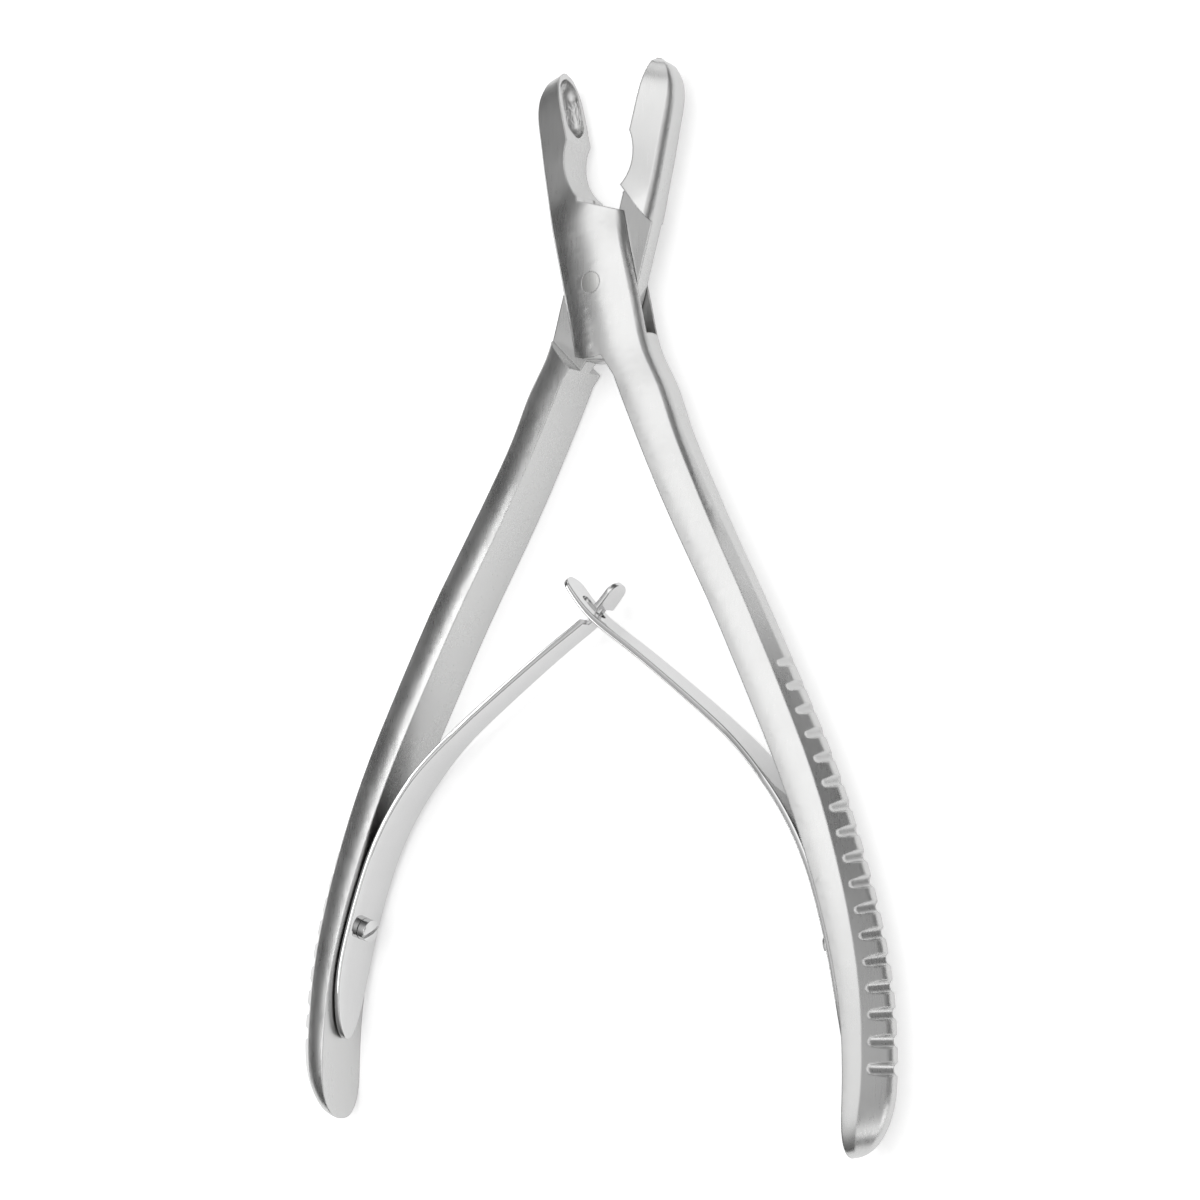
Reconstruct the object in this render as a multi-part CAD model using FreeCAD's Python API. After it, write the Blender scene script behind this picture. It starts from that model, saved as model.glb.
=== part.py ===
import FreeCAD, Part
import math
import os

V = FreeCAD.Vector

# The instrument lies flat: the tool plane is XY, the jaws point to +Y,
# the pin stands along Z and the flat land under the box lies on z = 0.
# Each half is drawn with the jaws shut, jaw on the left and handle on
# the right, and is then turned about the pin to its open place.

# overall sizes, mm and degrees
OPEN_HALF = 14.5
HANDLE_REACH = 142.0
HANDLE_BOW = 20.2
HANDLE_FACE = 9.3
HANDLE_END_LONG = 7.8
TONGUE_HANDLE_EXTRA = 1.3
END_FULLNESS = 2.4
END_LEAN = 0.12

# jaws
TIP_REACH = 37.1
TIP_LONG = 6.3
JAW_WIDTH = 5.8
RIM_HALF = 3.2
HEEL_Y = 24.8
WAIST_Y = 15.0
WAIST_DEPTH = 1.65
CUP_RADIUS = 2.3
CUP_START = 25.7
CUP_END = 36.1

# box lock
BOX_HALF = 4.0
BOX_CREST = 0.15
BOX_LEFT = 6.1
BOX_RIGHT = 5.9
BOX_RIDGE_Z = 2.7
SIDE_BULGE = 1.2
SIDE_FULLNESS = 0.72
TONGUE_HALF = 1.3
TONGUE_PLAY = 0.1
TONGUE_RADIUS = 12.3
MORTISE_PLAY = 0.3
PLATE_TOP_DIST = 12.3
PLATE_FOOT_RADIUS = 12.0
STEP_DIST = 13.4
STEP_ANGLE = 36.0
SHOULDER_DIST = 12.3
SHOULDER_ANGLE = 28.5
PIN_RADIUS = 1.7
PIN_PLAY = 0.04

# finger grooves on the outer side of both handles
GROOVE_COUNT = 17
GROOVE_FIRST_Y = -68.0
GROOVE_PITCH = 3.93
GROOVE_RADIUS = 1.15
GROOVE_DEPTH = 0.42
GROOVE_INSET = 1.7

# leaf springs
LEAF_THICK = 1.05
LEAF_WIDE = 7.5
LEAF_MIDDLE = 5.7
LEAF_NARROW = 4.4
LEAF_STEP_LONG = 42.5
LEAF_STEP_RUN = 7.0
LEAF_SEAT = 0.25
LEAF_TAIL_Y = -129.5
LEAF_LIFT_Y = -104.0
SLOT_LONG = 5.7
SLOT_WIDE = 1.7
NECK_WIDE = 1.1
HEAD_WIDE = 4.2

# screws that hold the leaves
SCREW_Y = -111.0
SCREW_HEAD_RADIUS = 1.85
SCREW_HEAD_TALL = 1.35
SCREW_DOME = 0.45
SCREW_SHANK_RADIUS = 1.1
SCREW_DEEP = 4.0
SCREW_SLOT_WIDE = 0.6
SCREW_SLOT_DEEP = 0.75
SCREW_SEAT = 0.1
LEAF_HOLE_PLAY = 0.2

# handle rows: y, inner face x, front face width, whole width, half height
HANDLE_ROWS = [
    (-16.0, 1.1, 5.8, 7.0, 0.88),
    (-27.0, 3.25, 5.8, 7.0, 0.90),
    (-41.0, 6.6, 5.6, 6.9, 0.94),
    (-56.0, 10.8, 5.3, 6.8, 0.97),
    (-71.0, 14.4, 5.1, 6.95, 0.99),
    (-86.0, 17.6, 4.8, 7.0, 1.0),
    (-99.0, 19.4, 4.3, 6.9, 1.0),
    (-111.0, 20.2, 3.7, 6.8, 1.0),
    (-122.0, 19.7, 3.2, 6.65, 1.0),
    (-133.0, 17.5, 2.8, 6.5, 1.0),
    (-144.0, 13.9, 2.5, 6.3, 1.0),
]
FACE_SLOPE = 0.23
FLANK_RUN = 45.0
EDGE_SHARE = 0.35
SIDE_SPLIT = 0.3
ROUND_STEPS = (0.97, 0.87, 0.7, 0.45, 0.15)
ROW_TOP_Y = -16.0


def handle_y(y):
    k = (HANDLE_REACH + ROW_TOP_Y) / (142.0 + ROW_TOP_Y)
    return ROW_TOP_Y + (y - ROW_TOP_Y) * k


def handle_row(row):
    y, x, face, whole, tall = row
    bow = HANDLE_BOW / 20.2
    return handle_y(y), x * bow, face, whole, 0.5 * HANDLE_FACE * tall


def flatness(y):
    """The side is round at the box and has flat flanks from mid handle on."""
    share = min(1.0, max(0.0, (ROW_TOP_Y - y) / FLANK_RUN))
    return share * share * (3.0 - 2.0 * share)


def rows_at(y, extra=0.0):
    """Smooth values between the handle rows; extra widens the handle below the box."""
    rows = [handle_row(r) for r in HANDLE_ROWS]
    i = 1
    while i < len(rows) - 2 and rows[i + 1][0] > y:
        i += 1
    p0 = rows[max(i - 1, 0)]
    p1 = rows[i]
    p2 = rows[min(i + 1, len(rows) - 1)]
    p3 = rows[min(i + 2, len(rows) - 1)]
    t = (y - p1[0]) / (p2[0] - p1[0])
    out = []
    for k in range(1, 5):
        m1 = 0.5 * (p2[k] - p0[k])
        m2 = 0.5 * (p3[k] - p1[k])
        a = 2.0 * t ** 3 - 3.0 * t ** 2 + 1.0
        b = t ** 3 - 2.0 * t ** 2 + t
        c = -2.0 * t ** 3 + 3.0 * t ** 2
        d = t ** 3 - t ** 2
        out.append(a * p1[k] + b * m1 + c * p2[k] + d * m2)
    wider = extra * flatness(y)
    return [out[0], out[1] + wider, out[2] + wider, out[3]]


def curve(points):
    c = Part.BezierCurve()
    c.setPoles(points)
    return c.toShape()


def part_poles(poles, t0, t1):
    """Poles of the piece of a cubic between two of its parameters."""
    def blossom(u, v, w):
        a = [poles[i] * (1.0 - u) + poles[i + 1] * u for i in range(3)]
        b = [a[i] * (1.0 - v) + a[i + 1] * v for i in range(2)]
        return b[0] * (1.0 - w) + b[1] * w

    return [blossom(t0, t0, t0), blossom(t0, t0, t1), blossom(t0, t1, t1), blossom(t1, t1, t1)]


def round_side(y, x, z, out):
    """Full round side from z to -z, in three pieces."""
    reach = x + out * 4.0 / 3.0
    low = SIDE_FULLNESS * z
    poles = [V(x, y, z), V(reach, y, low), V(reach, y, -low), V(x, y, -z)]
    cuts = (0.0, SIDE_SPLIT, 1.0 - SIDE_SPLIT, 1.0)
    return [part_poles(poles, cuts[i], cuts[i + 1]) for i in range(3)]


def flat_side(y, x, z, out):
    """Two flat flanks that meet in a rounded edge, in three pieces."""
    q = EDGE_SHARE
    corner = V(x + out / (1.0 - 0.5 * q), y, 0.0)
    top = V(x, y, z)
    low = V(x, y, -z)
    start = corner + (top - corner) * q
    end = corner + (low - corner) * q
    return [
        [top, top * (2.0 / 3.0) + start * (1.0 / 3.0), top * (1.0 / 3.0) + start * (2.0 / 3.0), start],
        [start, start + (corner - start) * (2.0 / 3.0), end + (corner - end) * (2.0 / 3.0), end],
        [end, end * (2.0 / 3.0) + low * (1.0 / 3.0), end * (1.0 / 3.0) + low * (2.0 / 3.0), low],
    ]


def side_curves(y, x, z, out, flat):
    """Side between the round form and the flat one, by share."""
    one = round_side(y, x, z, out)
    two = flat_side(y, x, z, out)
    edges = []
    for i in range(3):
        poles = [one[i][k] * (1.0 - flat) + two[i][k] * flat for k in range(4)]
        edges.append(curve(poles))
    return edges


def section(y, left, mid, right, flat):
    """Closed outline at one height: convex sides, front and back faces."""
    xl, zl, bl = left
    xc, zc = mid
    xr, zr, br = right
    edges = side_curves(y, xl, -zl, -bl, flat)
    edges.append(curve([V(xl, y, zl), V(xc, y, zc), V(xr, y, zr)]))
    edges += side_curves(y, xr, zr, br, flat)
    edges.append(curve([V(xr, y, -zr), V(xc, y, -zc), V(xl, y, -zl)]))
    return Part.Wire(edges)


def jaw_section(y, rim, width, ridge, bulge, right):
    left = (-width, ridge, bulge)
    slope = (rim - ridge) / width
    end = (right, rim + slope * right, 0.02)
    mid = (0.5 * (right - width), 0.5 * (ridge + end[1]))
    return section(y, left, mid, end, 0.0)


def box_section(y, left, right, ridge, crest):
    return section(
        y,
        (-left, ridge, SIDE_BULGE),
        (0.5 * (right - left), 2.0 * crest - ridge),
        (right, ridge, SIDE_BULGE),
        0.0,
    )


def handle_section(row):
    """Crowned front and back faces, highest along the flat inner face."""
    y, x, face, whole, tall = row
    ridge = tall - FACE_SLOPE * face
    bulge = whole - face
    return section(
        y,
        (x - face, ridge, bulge),
        (x, 2.0 * tall - ridge),
        (x + face, ridge, bulge),
        flatness(y),
    )


def end_distance(share, power=2.0):
    """How far from a rounded end its section has grown to this share; 2 is a circle."""
    return 1.0 - (1.0 - share**power) ** (1.0 / power)


def jaw_tip_sections():
    wires = []
    for s in reversed(ROUND_STEPS):
        y = TIP_REACH - TIP_LONG * end_distance(s)
        rim = s * RIM_HALF
        wires.append(
            jaw_section(y, rim, 0.86 * s * JAW_WIDTH, 0.74 * rim, 0.8 * s * SIDE_BULGE, 3.0 * s)
        )
    return wires


def handle_end_sections(extra):
    wires = []
    for s in (1.0,) + ROUND_STEPS:
        y = HANDLE_END_LONG * end_distance(s, END_FULLNESS) - HANDLE_REACH
        x, face, whole, tall = rows_at(y, extra)
        x += END_LEAN * (1.0 - s) * whole
        wires.append(handle_section([y, x, s * face, s * whole, s * tall]))
    return wires


def lever_bar(extra):
    """The forged bar before any cut, from jaw tip to handle end."""
    j = JAW_WIDTH
    r = RIM_HALF
    h = BOX_HALF + BOX_CREST
    z = BOX_RIDGE_Z
    b = SIDE_BULGE
    w = BOX_LEFT
    base = TIP_REACH - TIP_LONG
    wires = jaw_tip_sections() + [
        jaw_section(base, r, 0.88 * j, 0.75 * r, 0.85 * b, 3.5),
        jaw_section(0.5 * (base + HEEL_Y) - 1.0, r, 0.93 * j, 0.77 * r, 0.9 * b, 3.9),
        jaw_section(HEEL_Y - 1.8, 0.99 * r, 0.97 * j, 0.79 * r, 0.95 * b, 4.4),
        jaw_section(19.5, 0.97 * r, 1.0 * j, 0.79 * r, b, 4.8),
        jaw_section(16.0, 1.04 * r, 0.5 * (j + w), 0.81 * r, b, 5.3),
        box_section(12.5, w, 0.97 * BOX_RIGHT, z, 0.95 * h),
        box_section(7.0, w, BOX_RIGHT, z, h),
        box_section(0.0, w, BOX_RIGHT, z, h),
        box_section(-7.0, w, 1.01 * BOX_RIGHT, z, h),
        box_section(-12.5, 0.98 * w, 1.04 * BOX_RIGHT, z, 0.99 * h),
    ]
    top = handle_y(-19.0)
    last = HANDLE_END_LONG - HANDLE_REACH
    count = 16
    for i in range(count):
        y = top + (last - top) * i / count
        wires.append(handle_section([y] + rows_at(y, extra)))
    wires += handle_end_sections(extra)
    bar = Part.makeLoft(wires, True, False)
    land = Part.makeBox(40.0, 26.0, 10.0, V(-20.0, -13.0, -BOX_HALF - 10.0))
    return bar.cut(land)


def circle_point(radius, x, sign):
    return V(x, sign * math.sqrt(radius * radius - x * x), 0.0)


def inner_curve():
    points = []
    for row in HANDLE_ROWS:
        y, x, face, whole, tall = handle_row(row)
        points.append(V(x, y, 0.0))
    c = Part.BSplineCurve()
    c.interpolate(points)
    return c, points


def plan_cut(tongue):
    """Everything outside the flat inner faces, the waist and the box edges."""
    c, points = inner_curve()
    far = 60.0
    tip = V(0.0, TIP_REACH + 8.0, 0.0)
    heel = V(0.0, HEEL_Y, 0.0)
    waist = V(-WAIST_DEPTH, 0.5 * (HEEL_Y + WAIST_Y), 0.0)
    neck = V(0.0, WAIST_Y, 0.0)
    edges = [
        Part.LineSegment(tip, heel).toShape(),
        Part.Arc(heel, waist, neck).toShape(),
    ]
    if tongue:
        r = TONGUE_RADIUS
        gap = V(-0.15, WAIST_Y, 0.0)
        low = circle_point(r, -0.15, 1.0)
        edges.append(Part.LineSegment(neck, gap).toShape())
        edges.append(Part.LineSegment(gap, low).toShape())
        top_end = circle_point(r, 9.0, 1.0)
        edges.append(Part.Arc(low, circle_point(r, 5.0, 1.0), top_end).toShape())
    else:
        d = PLATE_TOP_DIST
        a = math.radians(SHOULDER_ANGLE)
        low = V(0.0, min(d / math.cos(a), WAIST_Y - 0.1), 0.0)
        top_end = V(9.0, (d - 9.0 * math.sin(a)) / math.cos(a), 0.0)
        edges.append(Part.LineSegment(neck, low).toShape())
        edges.append(Part.LineSegment(low, top_end).toShape())
    corner_a = V(far, top_end.y, 0.0)
    corner_b = V(far, points[-1].y, 0.0)
    edges.append(Part.LineSegment(top_end, corner_a).toShape())
    edges.append(Part.LineSegment(corner_a, corner_b).toShape())
    edges.append(Part.LineSegment(corner_b, points[-1]).toShape())
    edges.append(c.toShape())
    if tongue:
        r = TONGUE_RADIUS
    else:
        r = PLATE_FOOT_RADIUS
    foot = circle_point(r, -0.6, -1.0)
    foot_end = circle_point(r, -9.0, -1.0)
    edges.append(Part.LineSegment(points[0], foot).toShape())
    edges.append(Part.Arc(foot, circle_point(r, -5.0, -1.0), foot_end).toShape())
    corner_c = V(-20.0, foot_end.y, 0.0)
    corner_d = V(-20.0, tip.y, 0.0)
    edges.append(Part.LineSegment(foot_end, corner_c).toShape())
    edges.append(Part.LineSegment(corner_c, corner_d).toShape())
    edges.append(Part.LineSegment(corner_d, tip).toShape())
    face = Part.Face(Part.Wire(Part.__sortEdges__(edges)))
    prism = face.extrude(V(0.0, 0.0, 4.0 * HANDLE_FACE))
    prism.translate(V(0.0, 0.0, -2.0 * HANDLE_FACE))
    return prism


def cup_cut():
    """The bowl of the bite, round about the rim line."""
    r = CUP_RADIUS
    a = CUP_START
    b = CUP_END
    e = 0.32 * (b - a)
    s = math.sqrt(0.5)
    low = Part.Arc(V(0, a, 0), V(-r * s, a + e * (1.0 - s), 0), V(-r, a + e, 0))
    top = Part.Arc(V(-r, b - e, 0), V(-r * s, b - e * (1.0 - s), 0), V(0, b, 0))
    edges = [
        low.toShape(),
        Part.LineSegment(V(-r, a + e, 0), V(-r, b - e, 0)).toShape(),
        top.toShape(),
        Part.LineSegment(V(0, b, 0), V(0, a, 0)).toShape(),
    ]
    face = Part.Face(Part.Wire(edges))
    return face.revolve(V(0, 0, 0), V(0, 1, 0), 360.0)


def groove_tool(head, way):
    """A bar with a round nose at its head."""
    r = GROOVE_RADIUS
    c = r * math.sqrt(0.5)
    nose = Part.Arc(V(0, 0, -r), V(c, 0, -c), V(r, 0, 0)).toShape()
    path = [V(r, 0, 0), V(r, 0, way.Length), V(0, 0, way.Length), V(0, 0, -r)]
    wire = Part.Wire([nose] + Part.makePolygon(path).Edges)
    bar = Part.Face(wire).revolve(V(), V(0, 0, 1), 360)
    bar.Placement = FreeCAD.Placement(head, FreeCAD.Rotation(V(0, 0, 1), way))
    return bar


def groove_cuts(extra):
    """Shallow finger grooves across both flanks, deepest at the outer edge."""
    cuts = []
    k = (HANDLE_REACH + ROW_TOP_Y) / (142.0 + ROW_TOP_Y)
    r = GROOVE_RADIUS
    for i in range(GROOVE_COUNT):
        y = handle_y(GROOVE_FIRST_Y - i * GROOVE_PITCH)
        x, face, whole, tall = rows_at(y, extra)
        ahead = rows_at(y - 1.0 * k, extra)
        lean = math.degrees(math.atan2(ahead[0] + ahead[2] - x - whole, 1.0 * k))
        ridge = tall - FACE_SLOPE * face
        flank = V((whole - face) / (1.0 - 0.5 * EDGE_SHARE), 0.0, -ridge)
        flank.normalize()
        out = V(-flank.z, 0.0, flank.x)
        grow = min(1.0, 0.55 + 0.45 * i / max(1, GROOVE_COUNT // 2))
        depth = GROOVE_DEPTH * grow
        start = V(x + face, y, ridge) + flank * GROOVE_INSET + out * (r - 0.6 * depth)
        end = V(x + whole + (r - depth) / out.x, y, 0.0)
        for sign in (1.0, -1.0):
            head = V(start.x, y, sign * start.z)
            way = end - head
            tool = groove_tool(head, way)
            tool.rotate(V(x + whole, y, 0.0), V(0, 0, 1), lean)
            cuts.append(tool)
    return cuts


def screw_hole():
    x = rows_at(handle_y(SCREW_Y))[0]
    return Part.makeCylinder(
        SCREW_SHANK_RADIUS,
        SCREW_DEEP + 6.0,
        V(x - 6.0, handle_y(SCREW_Y), 0.0),
        V(1, 0, 0),
    )


def lever_blank(tongue):
    extra = TONGUE_HANDLE_EXTRA if tongue else 0.0
    body = lever_bar(extra).common(plan_cut(tongue))
    body = body.cut(cup_cut())
    body = body.cut(groove_cuts(extra))
    return body.cut(screw_hole())


def open_turn(shape, mirrored):
    """Turn a half from the shut place to the open one and lift it."""
    if mirrored:
        shape = shape.mirror(V(0, 0, 0), V(1, 0, 0))
        shape.rotate(V(0, 0, 0), V(0, 0, 1), -OPEN_HALF)
    else:
        shape.rotate(V(0, 0, 0), V(0, 0, 1), OPEN_HALF)
    shape.translate(V(0, 0, BOX_HALF))
    return shape


def biggest(shape):
    """The main solid, its edges closed to their faces."""
    solids = sorted(shape.Solids, key=lambda s: s.Volume)
    solid = solids[-1]
    if not solid.isValid():
        solid.fix(1e-5, 1e-5, 1e-3)
    return solid


def make_box_lever():
    """Half with the mortise: two plates with the tongue between them."""
    body = lever_blank(False)
    half = TONGUE_HALF + TONGUE_PLAY
    r = TONGUE_RADIUS + MORTISE_PLAY
    disc = Part.makeCylinder(r, 2.0 * half, V(0, 0, -half))
    upper = Part.makeBox(14.0, 20.0, 2.0 * half, V(-0.15, 0.0, -half))
    lower = Part.makeBox(14.0, 20.0, 2.0 * half, V(-13.5, -20.0, -half))
    body = body.cut([disc.fuse(upper).fuse(lower)])
    body = body.cut(Part.makeCylinder(PIN_RADIUS, 40.0, V(0, 0, -20.0)))
    return open_turn(biggest(body), False)


def half_plane_band():
    """Plan of the part of the bar that is thinned down to the tongue."""
    far = 30.0
    a = math.radians(STEP_ANGLE)
    b = math.radians(SHOULDER_ANGLE)

    def step_y(x):
        return (STEP_DIST + math.sin(a) * x) / math.cos(a)

    def shoulder_y(x):
        return (math.sin(b) * x - SHOULDER_DIST) / math.cos(b)

    points = [
        V(-far, step_y(-far), 0.0),
        V(far, step_y(far), 0.0),
        V(far, shoulder_y(far), 0.0),
        V(-far, shoulder_y(-far), 0.0),
    ]
    return Part.Face(Part.makePolygon(points + [points[0]]))


def make_tongue_lever():
    """Half with the tongue: thinned on both faces between two shoulders."""
    body = lever_blank(True)
    band = half_plane_band()
    upper = band.extrude(V(0, 0, 30.0))
    upper.translate(V(0, 0, TONGUE_HALF))
    lower = band.extrude(V(0, 0, -30.0))
    lower.translate(V(0, 0, -TONGUE_HALF))
    body = body.cut([upper, lower])
    bore = Part.makeCylinder(PIN_RADIUS + PIN_PLAY, 40.0, V(0, 0, -20.0))
    return open_turn(biggest(body.cut(bore)), True)


def make_pin():
    """The rivet, ground flush with the land below and the crown above."""
    pin = Part.makeCylinder(PIN_RADIUS, 3.0 * BOX_HALF, V(0, 0, -BOX_HALF))
    return open_turn(biggest(pin.common(lever_bar(0.0))), False)


def turned(x, y):
    a = math.radians(OPEN_HALF)
    return V(x * math.cos(a) - y * math.sin(a), x * math.sin(a) + y * math.cos(a), 0.0)


def leaf_path():
    """Middle line of the right leaf in plan, open place, tail first."""
    off = LEAF_SEAT + 0.5 * LEAF_THICK
    bow = HANDLE_BOW / 20.2
    points = []
    seated = [LEAF_TAIL_Y + i * (LEAF_LIFT_Y - LEAF_TAIL_Y) / 4.0 for i in range(5)]
    for y in seated:
        here = rows_at(handle_y(y))
        below = rows_at(handle_y(y) - 0.5)
        lean = math.atan2(below[0] - here[0], 0.5)
        points.append(V(here[0] - off * math.cos(lean), handle_y(y) - off * math.sin(lean), 0))
    for x, y in ((18.4, -98.4), (15.95, -89.6), (10.4, -79.0), (1.5, -67.6)):
        points.append(V(x * bow, handle_y(y), 0.0))
    for x, y in ((-7.8, -56.9), (-13.6, -50.2), (-17.3, -42.6)):
        points.append(V(x * bow, handle_y(y), 0.0))
    c = Part.BSplineCurve()
    c.interpolate([turned(p.x, p.y) for p in points])
    return c.toShape()


def middle_length(path):
    """Length along the path where it meets the middle plane."""
    low = 0.0
    high = path.Length
    for i in range(40):
        s = 0.5 * (low + high)
        if path.valueAt(path.getParameterByLength(s)).x > 0.0:
            low = s
        else:
            high = s
    return 0.5 * (low + high)


def leaf_strip(path, end):
    """Bent strip of even thickness, cut off square at the given length."""
    count = 22
    sides = ([], [])
    for i in range(count + 1):
        u = path.getParameterByLength(end * i / count)
        p = path.valueAt(u)
        t = path.tangentAt(u)
        n = V(-t.y, t.x, 0.0) * (0.5 * LEAF_THICK)
        sides[0].append(p + n)
        sides[1].append(p - n)
    edges = []
    for points in sides:
        c = Part.BSplineCurve()
        c.interpolate(points)
        edges.append(c.toShape())
    edges.append(Part.LineSegment(sides[0][0], sides[1][0]).toShape())
    edges.append(Part.LineSegment(sides[0][-1], sides[1][-1]).toShape())
    face = Part.Face(Part.Wire(Part.__sortEdges__(edges)))
    strip = face.extrude(V(0.0, 0.0, 2.0 * LEAF_WIDE))
    strip.translate(V(0.0, 0.0, -LEAF_WIDE))
    return strip


def leaf_side(path, end, narrow):
    """Side view of a leaf: pointed tail, long taper and rounded tip."""
    tail = path.valueAt(path.getParameterByLength(0.0)).y
    body = tail + 1.9 * LEAF_WIDE
    step = tail + LEAF_STEP_LONG
    slim = step + LEAF_STEP_RUN
    tip = path.valueAt(path.getParameterByLength(end)).y
    turn = tip - 0.36 * narrow
    w = 0.5 * LEAF_WIDE
    m = 0.5 * LEAF_MIDDLE
    n = 0.5 * narrow
    upper = [
        Part.Arc(
            V(0.0, tail, 0.0),
            V(0.0, tail + 0.36 * (body - tail), 0.68 * w),
            V(0.0, body, w),
        ),
        Part.LineSegment(V(0.0, body, w), V(0.0, step, 0.97 * w)),
        Part.LineSegment(V(0.0, step, 0.97 * w), V(0.0, slim, m)),
        Part.LineSegment(V(0.0, slim, m), V(0.0, turn, n)),
        Part.Arc(V(0.0, turn, n), V(0.0, tip - 0.1 * narrow, 0.72 * n), V(0.0, tip, 0.0)),
    ]
    edges = [e.toShape() for e in upper]
    edges += [e.mirror(V(0, 0, 0), V(0, 0, 1)) for e in edges]
    face = Part.Face(Part.Wire(Part.__sortEdges__(edges)))
    side = face.extrude(V(140.0, 0.0, 0.0))
    side.translate(V(-40.0, 0.0, 0.0))
    return side


def leaf_box(path, s0, s1, z0, z1):
    """Block square to the leaf, between two lengths and two heights."""
    s = 0.5 * (s0 + s1)
    u = path.getParameterByLength(s)
    p = path.valueAt(u)
    t = path.tangentAt(u)
    block = Part.makeBox(s1 - s0, 8.0, z1 - z0, V(-0.5 * (s1 - s0), -4.0, z0))
    block.rotate(V(0, 0, 0), V(0, 0, 1), math.degrees(math.atan2(t.y, t.x)))
    block.translate(V(p.x, p.y, 0.0))
    return block


def leaf_pill(path, s0, s1, wide):
    r = 0.5 * wide
    s = 0.5 * (s0 + s1)
    half = 0.5 * (s1 - s0) - r
    u = path.getParameterByLength(s)
    p = path.valueAt(u)
    t = path.tangentAt(u)
    block = Part.makeBox(2.0 * half, 8.0, wide, V(-half, -4.0, -r))
    ends = [
        Part.makeCylinder(r, 8.0, V(-half, -4.0, 0), V(0, 1, 0)),
        Part.makeCylinder(r, 8.0, V(half, -4.0, 0), V(0, 1, 0)),
    ]
    pill = block.fuse(ends)
    pill.rotate(V(0, 0, 0), V(0, 0, 1), math.degrees(math.atan2(t.y, t.x)))
    pill.translate(V(p.x, p.y, 0.0))
    return pill


def leaf_hole():
    x = rows_at(handle_y(SCREW_Y))[0]
    hole = Part.makeCylinder(
        SCREW_SHANK_RADIUS + LEAF_HOLE_PLAY,
        10.0,
        V(x - 6.0, handle_y(SCREW_Y), 0.0),
        V(1, 0, 0),
    )
    hole.rotate(V(0, 0, 0), V(0, 0, 1), OPEN_HALF)
    return hole


def make_right_leaf():
    """Leaf with the long slot near its tip."""
    path = leaf_path()
    cross = middle_length(path)
    end = min(path.Length - 0.01, cross + 8.2)
    strip = leaf_strip(path, end).common(leaf_side(path, end, LEAF_NARROW))
    slot = leaf_pill(path, cross - 1.6, cross - 1.6 + SLOT_LONG, SLOT_WIDE)
    leaf = biggest(strip.cut([slot, leaf_hole()]))
    leaf.translate(V(0, 0, BOX_HALF))
    return leaf


def make_left_leaf():
    """Leaf with the narrow neck and the wide head that passes the slot."""
    path = leaf_path()
    cross = middle_length(path)
    end = min(path.Length - 0.01, cross + 6.6)
    strip = leaf_strip(path, end).common(leaf_side(path, end, HEAD_WIDE))
    upper = leaf_box(path, cross - 1.9, cross + 1.7, 0.5 * NECK_WIDE, 6.0)
    lower = leaf_box(path, cross - 1.9, cross + 1.7, -6.0, -0.5 * NECK_WIDE)
    leaf = biggest(strip.cut([upper, lower, leaf_hole()]))
    leaf = leaf.mirror(V(0, 0, 0), V(1, 0, 0))
    leaf.translate(V(0, 0, BOX_HALF))
    return leaf


def make_screw(mirrored):
    """Domed slotted screw, its head towards the middle."""
    y = handle_y(SCREW_Y)
    x = rows_at(y)[0]
    seat = x - LEAF_SEAT - LEAF_THICK - SCREW_SEAT
    tall = SCREW_HEAD_TALL
    r = SCREW_HEAD_RADIUS
    dome = SCREW_DOME
    mid = Part.Arc(V(-tall, r, 0), V(-tall - 0.75 * dome, 0.5 * r, 0), V(-tall - dome, 0, 0))
    reach = x - seat + SCREW_DEEP - 0.2
    q = SCREW_SHANK_RADIUS
    edges = [
        Part.LineSegment(V(reach, 0, 0), V(reach, q, 0)).toShape(),
        Part.LineSegment(V(reach, q, 0), V(0, q, 0)).toShape(),
        Part.LineSegment(V(0, q, 0), V(0, r, 0)).toShape(),
        Part.LineSegment(V(0, r, 0), V(-tall, r, 0)).toShape(),
        mid.toShape(),
        Part.LineSegment(V(-tall - dome, 0, 0), V(reach, 0, 0)).toShape(),
    ]
    solid = Part.Face(Part.Wire(edges)).revolve(V(0, 0, 0), V(1, 0, 0), 360.0)
    w = SCREW_SLOT_WIDE
    slot = Part.makeBox(SCREW_SLOT_DEEP, w, 4.0 * r, V(-tall - dome, -0.5 * w, -2.0 * r))
    slot.rotate(V(0, 0, 0), V(1, 0, 0), 35.0)
    solid = solid.cut(slot)
    solid.translate(V(seat, y, 0.0))
    return open_turn(biggest(solid), mirrored)


def main():
    nodes = {
        "box_lever": make_box_lever(),
        "tongue_lever": make_tongue_lever(),
        "joint_pin": make_pin(),
        "right_leaf_spring": make_right_leaf(),
        "left_leaf_spring": make_left_leaf(),
        "right_spring_screw": make_screw(False),
        "left_spring_screw": make_screw(True),
    }
    os.makedirs("parts", exist_ok=True)
    for name in nodes:
        shape = nodes[name]
        shape.exportStep("parts/" + name + ".step")
        box = shape.BoundBox
        print(
            name,
            "valid", shape.isValid(),
            "solids", len(shape.Solids),
            "volume %.1f" % shape.Volume,
            "x %.1f %.1f" % (box.XMin, box.XMax),
            "y %.1f %.1f" % (box.YMin, box.YMax),
            "z %.2f %.2f" % (box.ZMin, box.ZMax),
        )


main()
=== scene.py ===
import bmesh
import bpy
import math
import numpy as np
from mathutils import Matrix, Vector

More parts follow.
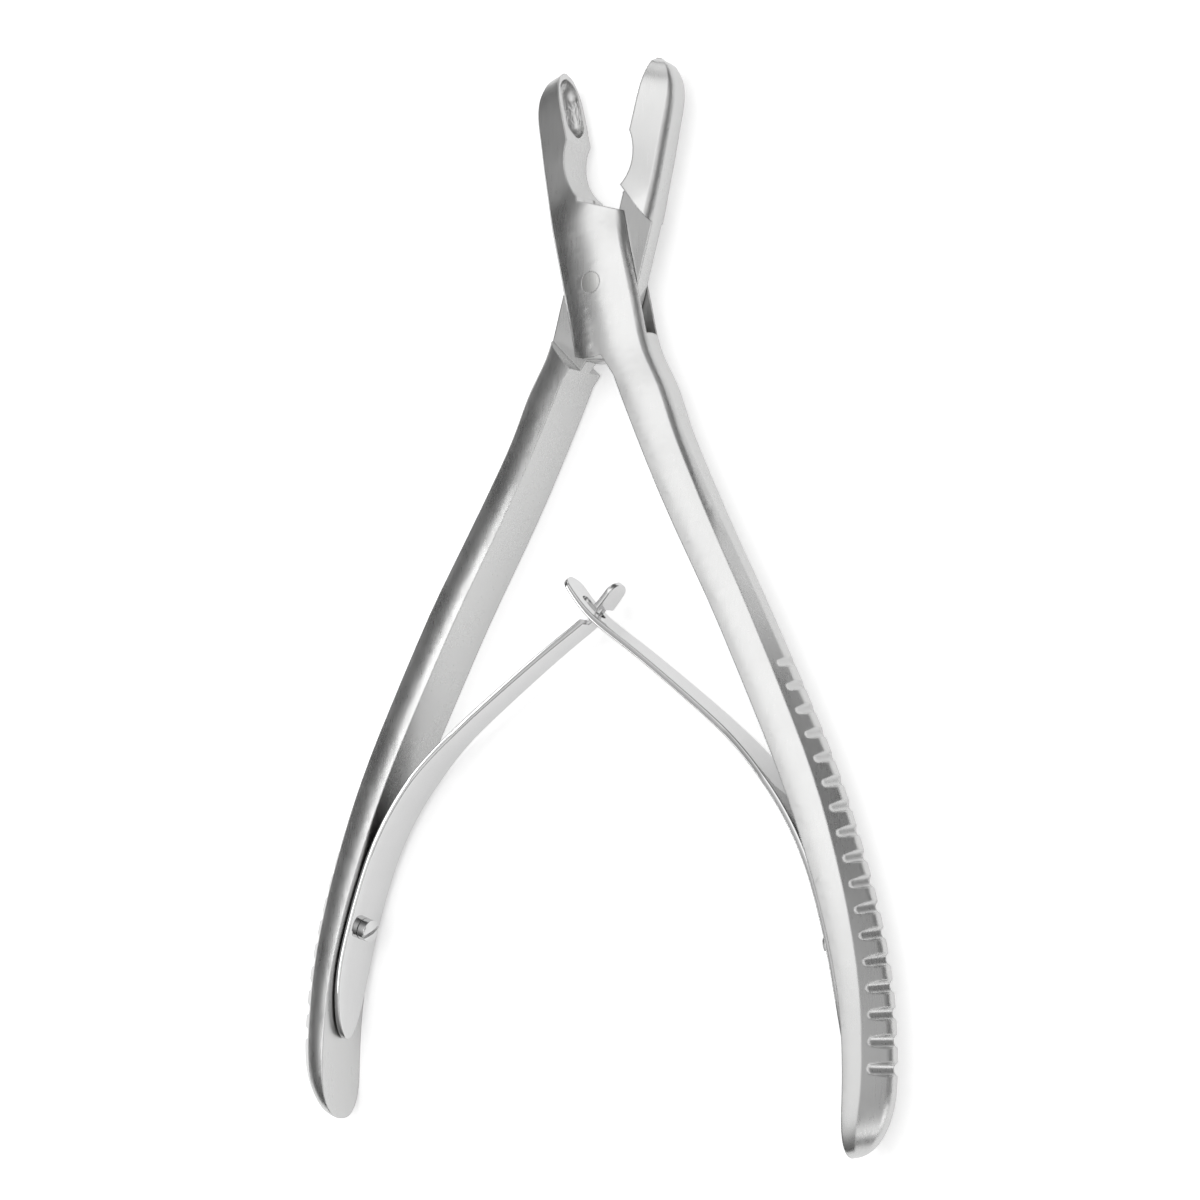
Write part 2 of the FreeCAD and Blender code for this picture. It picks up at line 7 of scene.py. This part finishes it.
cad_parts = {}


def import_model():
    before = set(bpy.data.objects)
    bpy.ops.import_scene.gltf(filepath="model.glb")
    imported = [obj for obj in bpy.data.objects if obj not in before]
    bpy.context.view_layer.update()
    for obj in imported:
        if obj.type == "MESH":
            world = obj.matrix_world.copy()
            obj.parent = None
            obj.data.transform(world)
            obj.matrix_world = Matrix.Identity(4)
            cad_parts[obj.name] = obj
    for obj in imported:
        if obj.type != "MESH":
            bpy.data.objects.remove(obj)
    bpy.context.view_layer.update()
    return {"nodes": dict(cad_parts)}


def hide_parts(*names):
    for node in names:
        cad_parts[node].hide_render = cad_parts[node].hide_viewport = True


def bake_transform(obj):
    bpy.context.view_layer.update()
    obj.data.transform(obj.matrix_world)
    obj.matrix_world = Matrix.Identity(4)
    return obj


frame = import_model()

# The leaf springs are worked out in millimetres, and everything else is in metres.
MM = 0.001
MID_Z = 4.0

# The right leaf spring's middle line in plan, jaws open, tail first. The left one is its mirror image.
LEAF_LINE = np.array([
    (49.43, -120.80), (48.85, -113.35), (47.48, -106.00), (45.48, -98.80), (42.94, -91.77),
    (39.48, -85.15), (35.03, -79.14), (29.79, -73.82), (23.98, -69.12), (17.92, -64.74),
    (11.79, -60.45), (5.56, -56.32), (-0.56, -52.04), (-5.53, -46.49),
])
LEAF_THICK = 1.05
LEAF_EDGE = 0.24
RIGHT_LONG = 97.21
LEFT_LONG = 95.61
RIGHT_TIP_HALF = 2.2
LEFT_TIP_HALF = 2.1

# The share of its thickness that a leaf keeps at its tip, and the length over which it thins.
TIP_THIN = 0.84
TIP_THIN_LONG = 8.0

# Half widths of the leaf's body against the distance beyond its tail, and the rounded tail's length.
LEAF_STEPS = ((14.25, 3.75), (42.5, 3.64), (49.5, 2.85))
TAIL_LONG = 14.25

# The rounded tip's length as a share of its half width.
TIP_ROUND = 0.72

# The lengths at the tail and at the tip in which the sections stand closer.
TAIL_CLOSE = 6.0
TIP_CLOSE = 2.6

# Where the leaves cross, as a length along the line, and the slot and the neck there: from, to, half width.
CROSS = 89.01
SLOT = (CROSS - 1.6, CROSS + 4.1, 0.85)
NECK = (CROSS - 1.9, CROSS + 1.7, 0.55)
NECK_STEP = 0.005

# The middle of the right cup, the half sizes of the ball round it and its turn to the jaw.
CUP_PLACE = (0.0078, 0.0300, 0.0040)
CUP_SIZE = (0.0027, 0.0058, 0.0027)
CUP_TURN = -math.radians(14.5)

FLOOR_LEVEL = -0.00075
FLOOR_HALF = 3.0

# How bright the floor is in itself, to the camera and in reflections.
FLOOR_SEEN = 0.45
FLOOR_MIRRORED = 0.4

# The place near the middle of the tool at which the two large lamps are aimed.
MIDDLE = (0.01, -0.05, 0.0)


# Shapes


def spline(points, s):
    """Natural cubic through the points, by chord length, read at the lengths s: place and unit tangent."""
    steps = np.linalg.norm(np.diff(points, axis=0), axis=1)
    knots = np.concatenate([[0.0], np.cumsum(steps)])
    n = len(points)
    a = np.eye(n)
    b = np.zeros_like(points)
    i = np.arange(1, n - 1)
    a[i, i - 1] = steps[:-1]
    a[i, i] = 2.0 * (steps[:-1] + steps[1:])
    a[i, i + 1] = steps[1:]
    b[1:-1] = 6.0 * np.diff(np.diff(points, axis=0) / steps[:, None], axis=0)
    bend = np.linalg.solve(a, b)
    k = np.clip(np.searchsorted(knots, s, side="right") - 1, 0, n - 2)
    h = steps[k][:, None]
    u = (s - knots[k])[:, None]
    v = h - u
    m0, m1, p0, p1 = bend[k], bend[k + 1], points[k], points[k + 1]
    place = (m0 * v**3 + m1 * u**3) / (6 * h) + (p0 / h - m0 * h / 6) * v + (p1 / h - m1 * h / 6) * u
    way = (m1 * u**2 - m0 * v**2) / (2 * h) + (p1 - p0) / h - (m1 - m0) * h / 6
    return place, way / np.linalg.norm(way, axis=1)[:, None]


def ease(count):
    """Numbers from 0 to 1, close together near 0: one minus the cosine of even angles up to a right angle."""
    return 1.0 - np.cos(np.linspace(0.0, np.pi / 2, count))


def round_end(u):
    """Quarter of a round: 0 at u = 0, 1 from u = 1 on."""
    u = np.clip(u, 0.0, 1.0)
    return np.sqrt(1.0 - (1.0 - u) ** 2)


def leaf_halves(y, tip, narrow):
    """Half width along a leaf: rounded tail, even body, a step in, a taper and a rounded tip."""
    tail = y[0]
    turn = tip - TIP_ROUND * narrow
    at = [tail + d for d, w in LEAF_STEPS] + [turn]
    wide = np.interp(y, at, [w for d, w in LEAF_STEPS] + [narrow])
    wide = wide * round_end((y - tail) / TAIL_LONG)
    return wide * round_end((tip - y) / (tip - turn))


def make_mesh(name, points, faces):
    """One closed mesh from arrays of points in mm and quads, doubles merged and faces turned outwards."""
    mesh = bpy.data.meshes.new(name)
    mesh.from_pydata((points * MM).tolist(), [], faces.tolist())
    piece = bpy.data.objects.new(name, mesh)
    bpy.context.collection.objects.link(piece)
    work = bmesh.new()
    work.from_mesh(mesh)
    bmesh.ops.remove_doubles(work, verts=work.verts, dist=2e-7)
    bmesh.ops.dissolve_degenerate(work, edges=work.edges, dist=1e-7)
    bmesh.ops.recalc_face_normals(work, faces=work.faces)
    work.to_mesh(mesh)
    work.free()
    mesh.polygons.foreach_set("use_smooth", np.ones(len(mesh.polygons), dtype=bool))
    mesh.set_sharp_from_angle(angle=math.radians(32))
    return piece


def leaf(name, side, length, narrow, slot=None, neck=None):
    """A leaf spring: a flat bar bent along its line, with rounded edges, and a slot or a neck.

    Each section is a flat bar, as wide as leaf_halves says, laid square to the line. The sections stand
    closer near the tail, the tip, the slot's ends and the neck's steps. The upper and the lower half of a
    section are each a closed loop, and they meet in the middle where no slot parts them.
    """
    stops = [np.linspace(0.0, length, 190), np.linspace(0.0, 0.12 * length, 30)]
    stops += [length - TIP_CLOSE * ease(26), TAIL_CLOSE * ease(20)]
    if slot:
        a, b, r = slot
        stops += [a + r * ease(12), b - r * ease(12)]
    if neck:
        stops += [np.array([end - NECK_STEP, end + NECK_STEP]) for end in neck[:2]]
    s = np.unique(np.round(np.concatenate(stops), 4))
    s = s[(s >= 0.0) & (s <= length)]
    place, way = spline(LEAF_LINE, s)
    place = place * (side, 1.0)
    across = np.stack([-way[:, 1] * side, way[:, 0]], axis=1) * side
    half = leaf_halves(place[:, 1], place[-1, 1], narrow)
    inner = np.zeros_like(s)
    if slot:
        a, b, r = slot
        inside = np.clip(np.minimum(s - a, b - s) / r, 0.0, 1.0)
        inner = r * round_end(inside) * (inside > 0.0)
    if neck:
        a, b, r = neck
        half = np.where((s > a) & (s < b), np.minimum(half, r), half)
    edge = np.minimum(LEAF_EDGE, 0.5 * (half - inner))
    thick = 0.5 * LEAF_THICK * np.interp(s, [length - TIP_THIN_LONG, length], [1.0, TIP_THIN])[:, None]
    flat = np.linspace(0.0, 1.0, 5)
    turn = np.linspace(0.0, np.pi / 2, 5)[1:]
    run = half - inner - edge
    up = np.concatenate([
        inner[:, None] + run[:, None] * flat,
        (half - edge)[:, None] + edge[:, None] * np.sin(turn),
    ], axis=1)
    out = np.concatenate([
        np.repeat(thick, 5, axis=1),
        thick - edge[:, None] + edge[:, None] * np.cos(turn),
    ], axis=1)
    up = np.concatenate([up, up[:, ::-1]], axis=1)
    out = np.concatenate([out, -out[:, ::-1]], axis=1)
    rows, cols = up.shape
    points = []
    for sign in (1.0, -1.0):
        x = place[:, :1] + across[:, :1] * out
        y = place[:, 1:] + across[:, 1:] * out
        points.append(np.stack([x, y, MID_Z + sign * up], axis=-1).reshape(-1, 3))
    i, j = np.meshgrid(np.arange(rows - 1), np.arange(cols), indexing="ij")
    k = (j + 1) % cols
    quads = np.stack([i * cols + j, (i + 1) * cols + j, (i + 1) * cols + k, i * cols + k], axis=-1)
    wall = (j == cols - 1) & (inner[:-1, None] <= 0.0) & (inner[1:, None] <= 0.0)
    quads = quads[~wall]
    faces = np.concatenate([quads, quads + rows * cols])
    return make_mesh(name, np.concatenate(points), faces)


# Finishes


def node(tree, kind, **values):
    """A new shader node with its settings."""
    made = tree.nodes.new(kind)
    for key, value in values.items():
        setattr(made, key, value)
    return made


def new_group(name, inputs, outputs):
    """An empty shader node group with named sockets, inputs given as (name, kind, default)."""
    tree = bpy.data.node_groups.new(name, "ShaderNodeTree")
    for label, kind, value in inputs:
        socket = tree.interface.new_socket(label, in_out="INPUT", socket_type=kind)
        if value is not None:
            socket.default_value = value
    for label, kind in outputs:
        tree.interface.new_socket(label, in_out="OUTPUT", socket_type=kind)
    return tree, node(tree, "NodeGroupInput"), node(tree, "NodeGroupOutput")


def brushed_effect():
    """Fine finishing lines and a faint cloudiness: a roughness mask and a height."""
    inputs = [
        ("Place", "NodeSocketVector", None),
        ("Lines", "NodeSocketFloat", 4000.0),
        ("Stretch", "NodeSocketVector", (1.0, 0.06, 1.0)),
    ]
    outputs = [("Mask", "NodeSocketFloat"), ("Height", "NodeSocketFloat")]
    tree, start, end = new_group("brushed", inputs, outputs)
    link = tree.links.new
    scaled = node(tree, "ShaderNodeVectorMath", operation="MULTIPLY")
    link(start.outputs["Place"], scaled.inputs[0])
    link(start.outputs["Stretch"], scaled.inputs[1])
    lines = node(tree, "ShaderNodeTexNoise")
    lines.inputs["Detail"].default_value = 3.0
    link(scaled.outputs[0], lines.inputs["Vector"])
    link(start.outputs["Lines"], lines.inputs["Scale"])
    cloud = node(tree, "ShaderNodeTexNoise")
    cloud.inputs["Scale"].default_value = 90.0
    cloud.inputs["Detail"].default_value = 4.0
    link(start.outputs["Place"], cloud.inputs["Vector"])
    both = node(tree, "ShaderNodeMath", operation="MULTIPLY_ADD")
    link(cloud.outputs["Fac"], both.inputs[0])
    both.inputs[1].default_value = 0.6
    part = node(tree, "ShaderNodeMath", operation="MULTIPLY")
    link(lines.outputs["Fac"], part.inputs[0])
    part.inputs[1].default_value = 0.4
    link(part.outputs[0], both.inputs[2])
    link(both.outputs[0], end.inputs["Mask"])
    link(lines.outputs["Fac"], end.inputs["Height"])
    return tree


def cup_effect():
    """Grinding marks in the two cups: a coarse height inside a long ball round each."""
    inputs = [("Place", "NodeSocketVector", None)]
    tree, start, end = new_group("cup_grind", inputs, [("Height", "NodeSocketFloat")])
    link = tree.links.new
    parts = node(tree, "ShaderNodeSeparateXYZ")
    link(start.outputs["Place"], parts.inputs[0])
    folded = node(tree, "ShaderNodeMath", operation="ABSOLUTE")
    link(parts.outputs["X"], folded.inputs[0])
    place = node(tree, "ShaderNodeCombineXYZ")
    link(folded.outputs[0], place.inputs["X"])
    link(parts.outputs["Y"], place.inputs["Y"])
    link(parts.outputs["Z"], place.inputs["Z"])
    ball = node(tree, "ShaderNodeMapping", vector_type="TEXTURE")
    ball.inputs["Location"].default_value = CUP_PLACE
    ball.inputs["Rotation"].default_value = (0.0, 0.0, CUP_TURN)
    ball.inputs["Scale"].default_value = CUP_SIZE
    link(place.outputs[0], ball.inputs["Vector"])
    away = node(tree, "ShaderNodeVectorMath", operation="LENGTH")
    link(ball.outputs[0], away.inputs[0])
    mask = node(tree, "ShaderNodeMapRange", interpolation_type="SMOOTHSTEP")
    mask.inputs["From Min"].default_value = 1.0
    mask.inputs["From Max"].default_value = 0.8
    link(away.outputs["Value"], mask.inputs["Value"])
    marks = node(tree, "ShaderNodeTexNoise")
    marks.inputs["Scale"].default_value = 3.4
    marks.inputs["Detail"].default_value = 2.5
    marks.inputs["Distortion"].default_value = 0.8
    link(ball.outputs[0], marks.inputs["Vector"])
    height = node(tree, "ShaderNodeMath", operation="MULTIPLY")
    link(marks.outputs["Fac"], height.inputs[0])
    link(mask.outputs["Result"], height.inputs[1])
    link(height.outputs[0], end.inputs["Height"])
    return tree


def steel(name, colour, rough, spread, bump, soft_edge, cups=None):
    """Bare steel: finishing lines in the roughness and bump, edges softened by a small radius.

    The roughness goes from rough - spread to rough + spread. cups is the group with the cups' marks.
    """
    made = bpy.data.materials.new(name)
    made.use_nodes = True
    tree = made.node_tree
    link = tree.links.new
    surface = tree.nodes["Principled BSDF"]
    surface.inputs["Metallic"].default_value = 1.0
    where = node(tree, "ShaderNodeTexCoord")
    effect = node(tree, "ShaderNodeGroup", node_tree=brushed)
    link(where.outputs["Object"], effect.inputs["Place"])
    shine = node(tree, "ShaderNodeMapRange")
    shine.inputs["From Min"].default_value = 0.3
    shine.inputs["From Max"].default_value = 0.7
    shine.inputs["To Min"].default_value = rough - spread
    shine.inputs["To Max"].default_value = rough + spread
    link(effect.outputs["Mask"], shine.inputs["Value"])
    link(shine.outputs["Result"], surface.inputs["Roughness"])
    tone = node(tree, "ShaderNodeMix", data_type="RGBA")
    tone.inputs[6].default_value = (*[c * 0.88 for c in colour], 1.0)
    tone.inputs[7].default_value = (*colour, 1.0)
    link(effect.outputs["Mask"], tone.inputs[0])
    link(tone.outputs[2], surface.inputs["Base Color"])
    edge = node(tree, "ShaderNodeBevel", samples=4)
    edge.inputs["Radius"].default_value = soft_edge
    bumps = node(tree, "ShaderNodeBump")
    bumps.inputs["Strength"].default_value = bump
    bumps.inputs["Distance"].default_value = 0.00002
    link(effect.outputs["Height"], bumps.inputs["Height"])
    link(edge.outputs["Normal"], bumps.inputs["Normal"])
    link(bumps.outputs["Normal"], surface.inputs["Normal"])
    if cups:
        grind = node(tree, "ShaderNodeGroup", node_tree=cups)
        link(where.outputs["Object"], grind.inputs["Place"])
        marks = node(tree, "ShaderNodeBump")
        marks.inputs["Strength"].default_value = 0.55
        marks.inputs["Distance"].default_value = 0.0005
        link(grind.outputs["Height"], marks.inputs["Height"])
        link(bumps.outputs["Normal"], marks.inputs["Normal"])
        link(marks.outputs["Normal"], surface.inputs["Normal"])
    return made


def wear(piece, made):
    """Put one material on all of a piece."""
    for slot in piece.material_slots:
        slot.material = made
    if not piece.material_slots:
        piece.data.materials.append(made)


brushed = brushed_effect()
satin = steel("satin_steel", (0.62, 0.62, 0.617), 0.29, 0.07, 0.15, 0.00035, cup_effect())
pin_steel = steel("pin_steel", (0.60, 0.60, 0.59), 0.24, 0.04, 0.2, 0.0001)
polished = steel("polished_steel", (0.66, 0.66, 0.66), 0.08, 0.03, 0.05, 0.00012)

nodes = frame["nodes"]
wear(nodes["box_lever"], satin)
wear(nodes["tongue_lever"], satin)
wear(nodes["joint_pin"], pin_steel)
wear(nodes["right_spring_screw"], polished)
wear(nodes["left_spring_screw"], polished)

right_leaf = leaf("right_leaf", 1.0, RIGHT_LONG, RIGHT_TIP_HALF, slot=SLOT)
left_leaf = leaf("left_leaf", -1.0, LEFT_LONG, LEFT_TIP_HALF, neck=NECK)
leaves = ((right_leaf, "box_half", "right", 1.0), (left_leaf, "tongue_half", "left", -1.0))
for piece, body, hand, side in leaves:
    wear(piece, polished)
    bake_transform(piece)
    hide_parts(hand + "_leaf_spring")


# Studio


def floor():
    """A plain pale floor that keeps the soft shadow."""
    mesh = bpy.data.meshes.new("floor")
    corners = [(FLOOR_HALF * x, FLOOR_HALF * y, FLOOR_LEVEL) for x, y in ((-1, -1), (1, -1), (1, 1), (-1, 1))]
    mesh.from_pydata(corners, [], [(0, 1, 2, 3)])
    made = bpy.data.objects.new("floor", mesh)
    bpy.context.collection.objects.link(made)
    paint = bpy.data.materials.new("floor_white")
    paint.use_nodes = True
    tree = paint.node_tree
    surface = tree.nodes["Principled BSDF"]
    surface.inputs["Base Color"].default_value = (0.9, 0.9, 0.9, 1.0)
    surface.inputs["Roughness"].default_value = 0.9
    surface.inputs["Specular IOR Level"].default_value = 0.0
    surface.inputs["Emission Color"].default_value = (1.0, 1.0, 1.0, 1.0)
    ray = node(tree, "ShaderNodeLightPath")
    either = node(tree, "ShaderNodeMath", operation="MAXIMUM")
    tree.links.new(ray.outputs["Is Glossy Ray"], either.inputs[0])
    tree.links.new(ray.outputs["Is Transmission Ray"], either.inputs[1])
    mirrored = node(tree, "ShaderNodeMath", operation="MULTIPLY")
    tree.links.new(either.outputs[0], mirrored.inputs[0])
    mirrored.inputs[1].default_value = FLOOR_MIRRORED
    amount = node(tree, "ShaderNodeMath", operation="MULTIPLY_ADD")
    tree.links.new(ray.outputs["Is Camera Ray"], amount.inputs[0])
    amount.inputs[1].default_value = FLOOR_SEEN
    tree.links.new(mirrored.outputs[0], amount.inputs[2])
    tree.links.new(amount.outputs[0], surface.inputs["Emission Strength"])
    made.data.materials.append(paint)


def lamp(name, place, aim, size, power):
    """A soft box at a place, facing the aim, that the camera doesn't see."""
    data = bpy.data.lights.new(name, "AREA")
    data.shape = "RECTANGLE"
    data.size, data.size_y = size
    data.energy = power
    made = bpy.data.objects.new(name, data)
    bpy.context.collection.objects.link(made)
    made.location = place
    way = Vector(aim) - Vector(place)
    made.rotation_euler = way.to_track_quat("-Z", "Y").to_euler()
    made.visible_camera = False


def world():
    """A dark room with one wide soft glow overhead, brightest a little to the right."""
    made = bpy.data.worlds.new("studio")
    bpy.context.scene.world = made
    made.use_nodes = True
    tree = made.node_tree
    back = tree.nodes["Background"]
    where = node(tree, "ShaderNodeTexCoord")
    near = node(tree, "ShaderNodeVectorMath", operation="DOT_PRODUCT")
    near.inputs[1].default_value = (0.14, 0.04, 0.99)
    ramp = node(tree, "ShaderNodeValToRGB")
    tree.links.new(where.outputs["Generated"], near.inputs[0])
    tree.links.new(near.outputs["Value"], ramp.inputs[0])
    tree.links.new(ramp.outputs[0], back.inputs["Color"])
    stops = ((0.0, 0.05), (0.35, 0.15), (0.6, 0.3), (0.76, 0.62), (0.9, 1.0))
    for spot, level in stops[1:-1]:
        ramp.color_ramp.elements.new(spot)
    for element, (spot, level) in zip(ramp.color_ramp.elements, stops):
        element.position = spot
        element.color = (level, level, level, 1.0)
    back.inputs["Strength"].default_value = 1.2


floor()
lamp("key", (0.0, 0.20, 0.60), MIDDLE, (0.6, 0.45), 0.38)
lamp("back", (-0.35, 0.75, 0.35), MIDDLE, (0.6, 0.5), 1.0)

# The strip gives the left handle its bright band, and the side lamp lights the right handle's flank.
lamp("strip", (-0.170, -0.080, 0.157), (-0.036, -0.085, 0.006), (0.17, 0.035), 0.065)
lamp("side", (0.19, -0.22, 0.045), (0.054, -0.125, 0.004), (0.10, 0.05), 0.028)
world()

scene = bpy.context.scene
scene.view_settings.view_transform = "Standard"

# The camera that was fitted to the photograph.
camera = bpy.data.objects.new("camera", bpy.data.cameras.new("camera"))
bpy.context.collection.objects.link(camera)
camera.data.sensor_width = 36.0
camera.data.lens = 96.903
camera.data.clip_start = 0.01
camera.matrix_world = Matrix((
    (0.79991683, 0.03707481, 0.59896454, 0.305126),
    (0.02667988, 0.99490585, -0.09721381, -0.099532),
    (-0.59951751, 0.09374327, 0.79485279, 0.408198),
    (0.0, 0.0, 0.0, 1.0),
))
scene.camera = camera
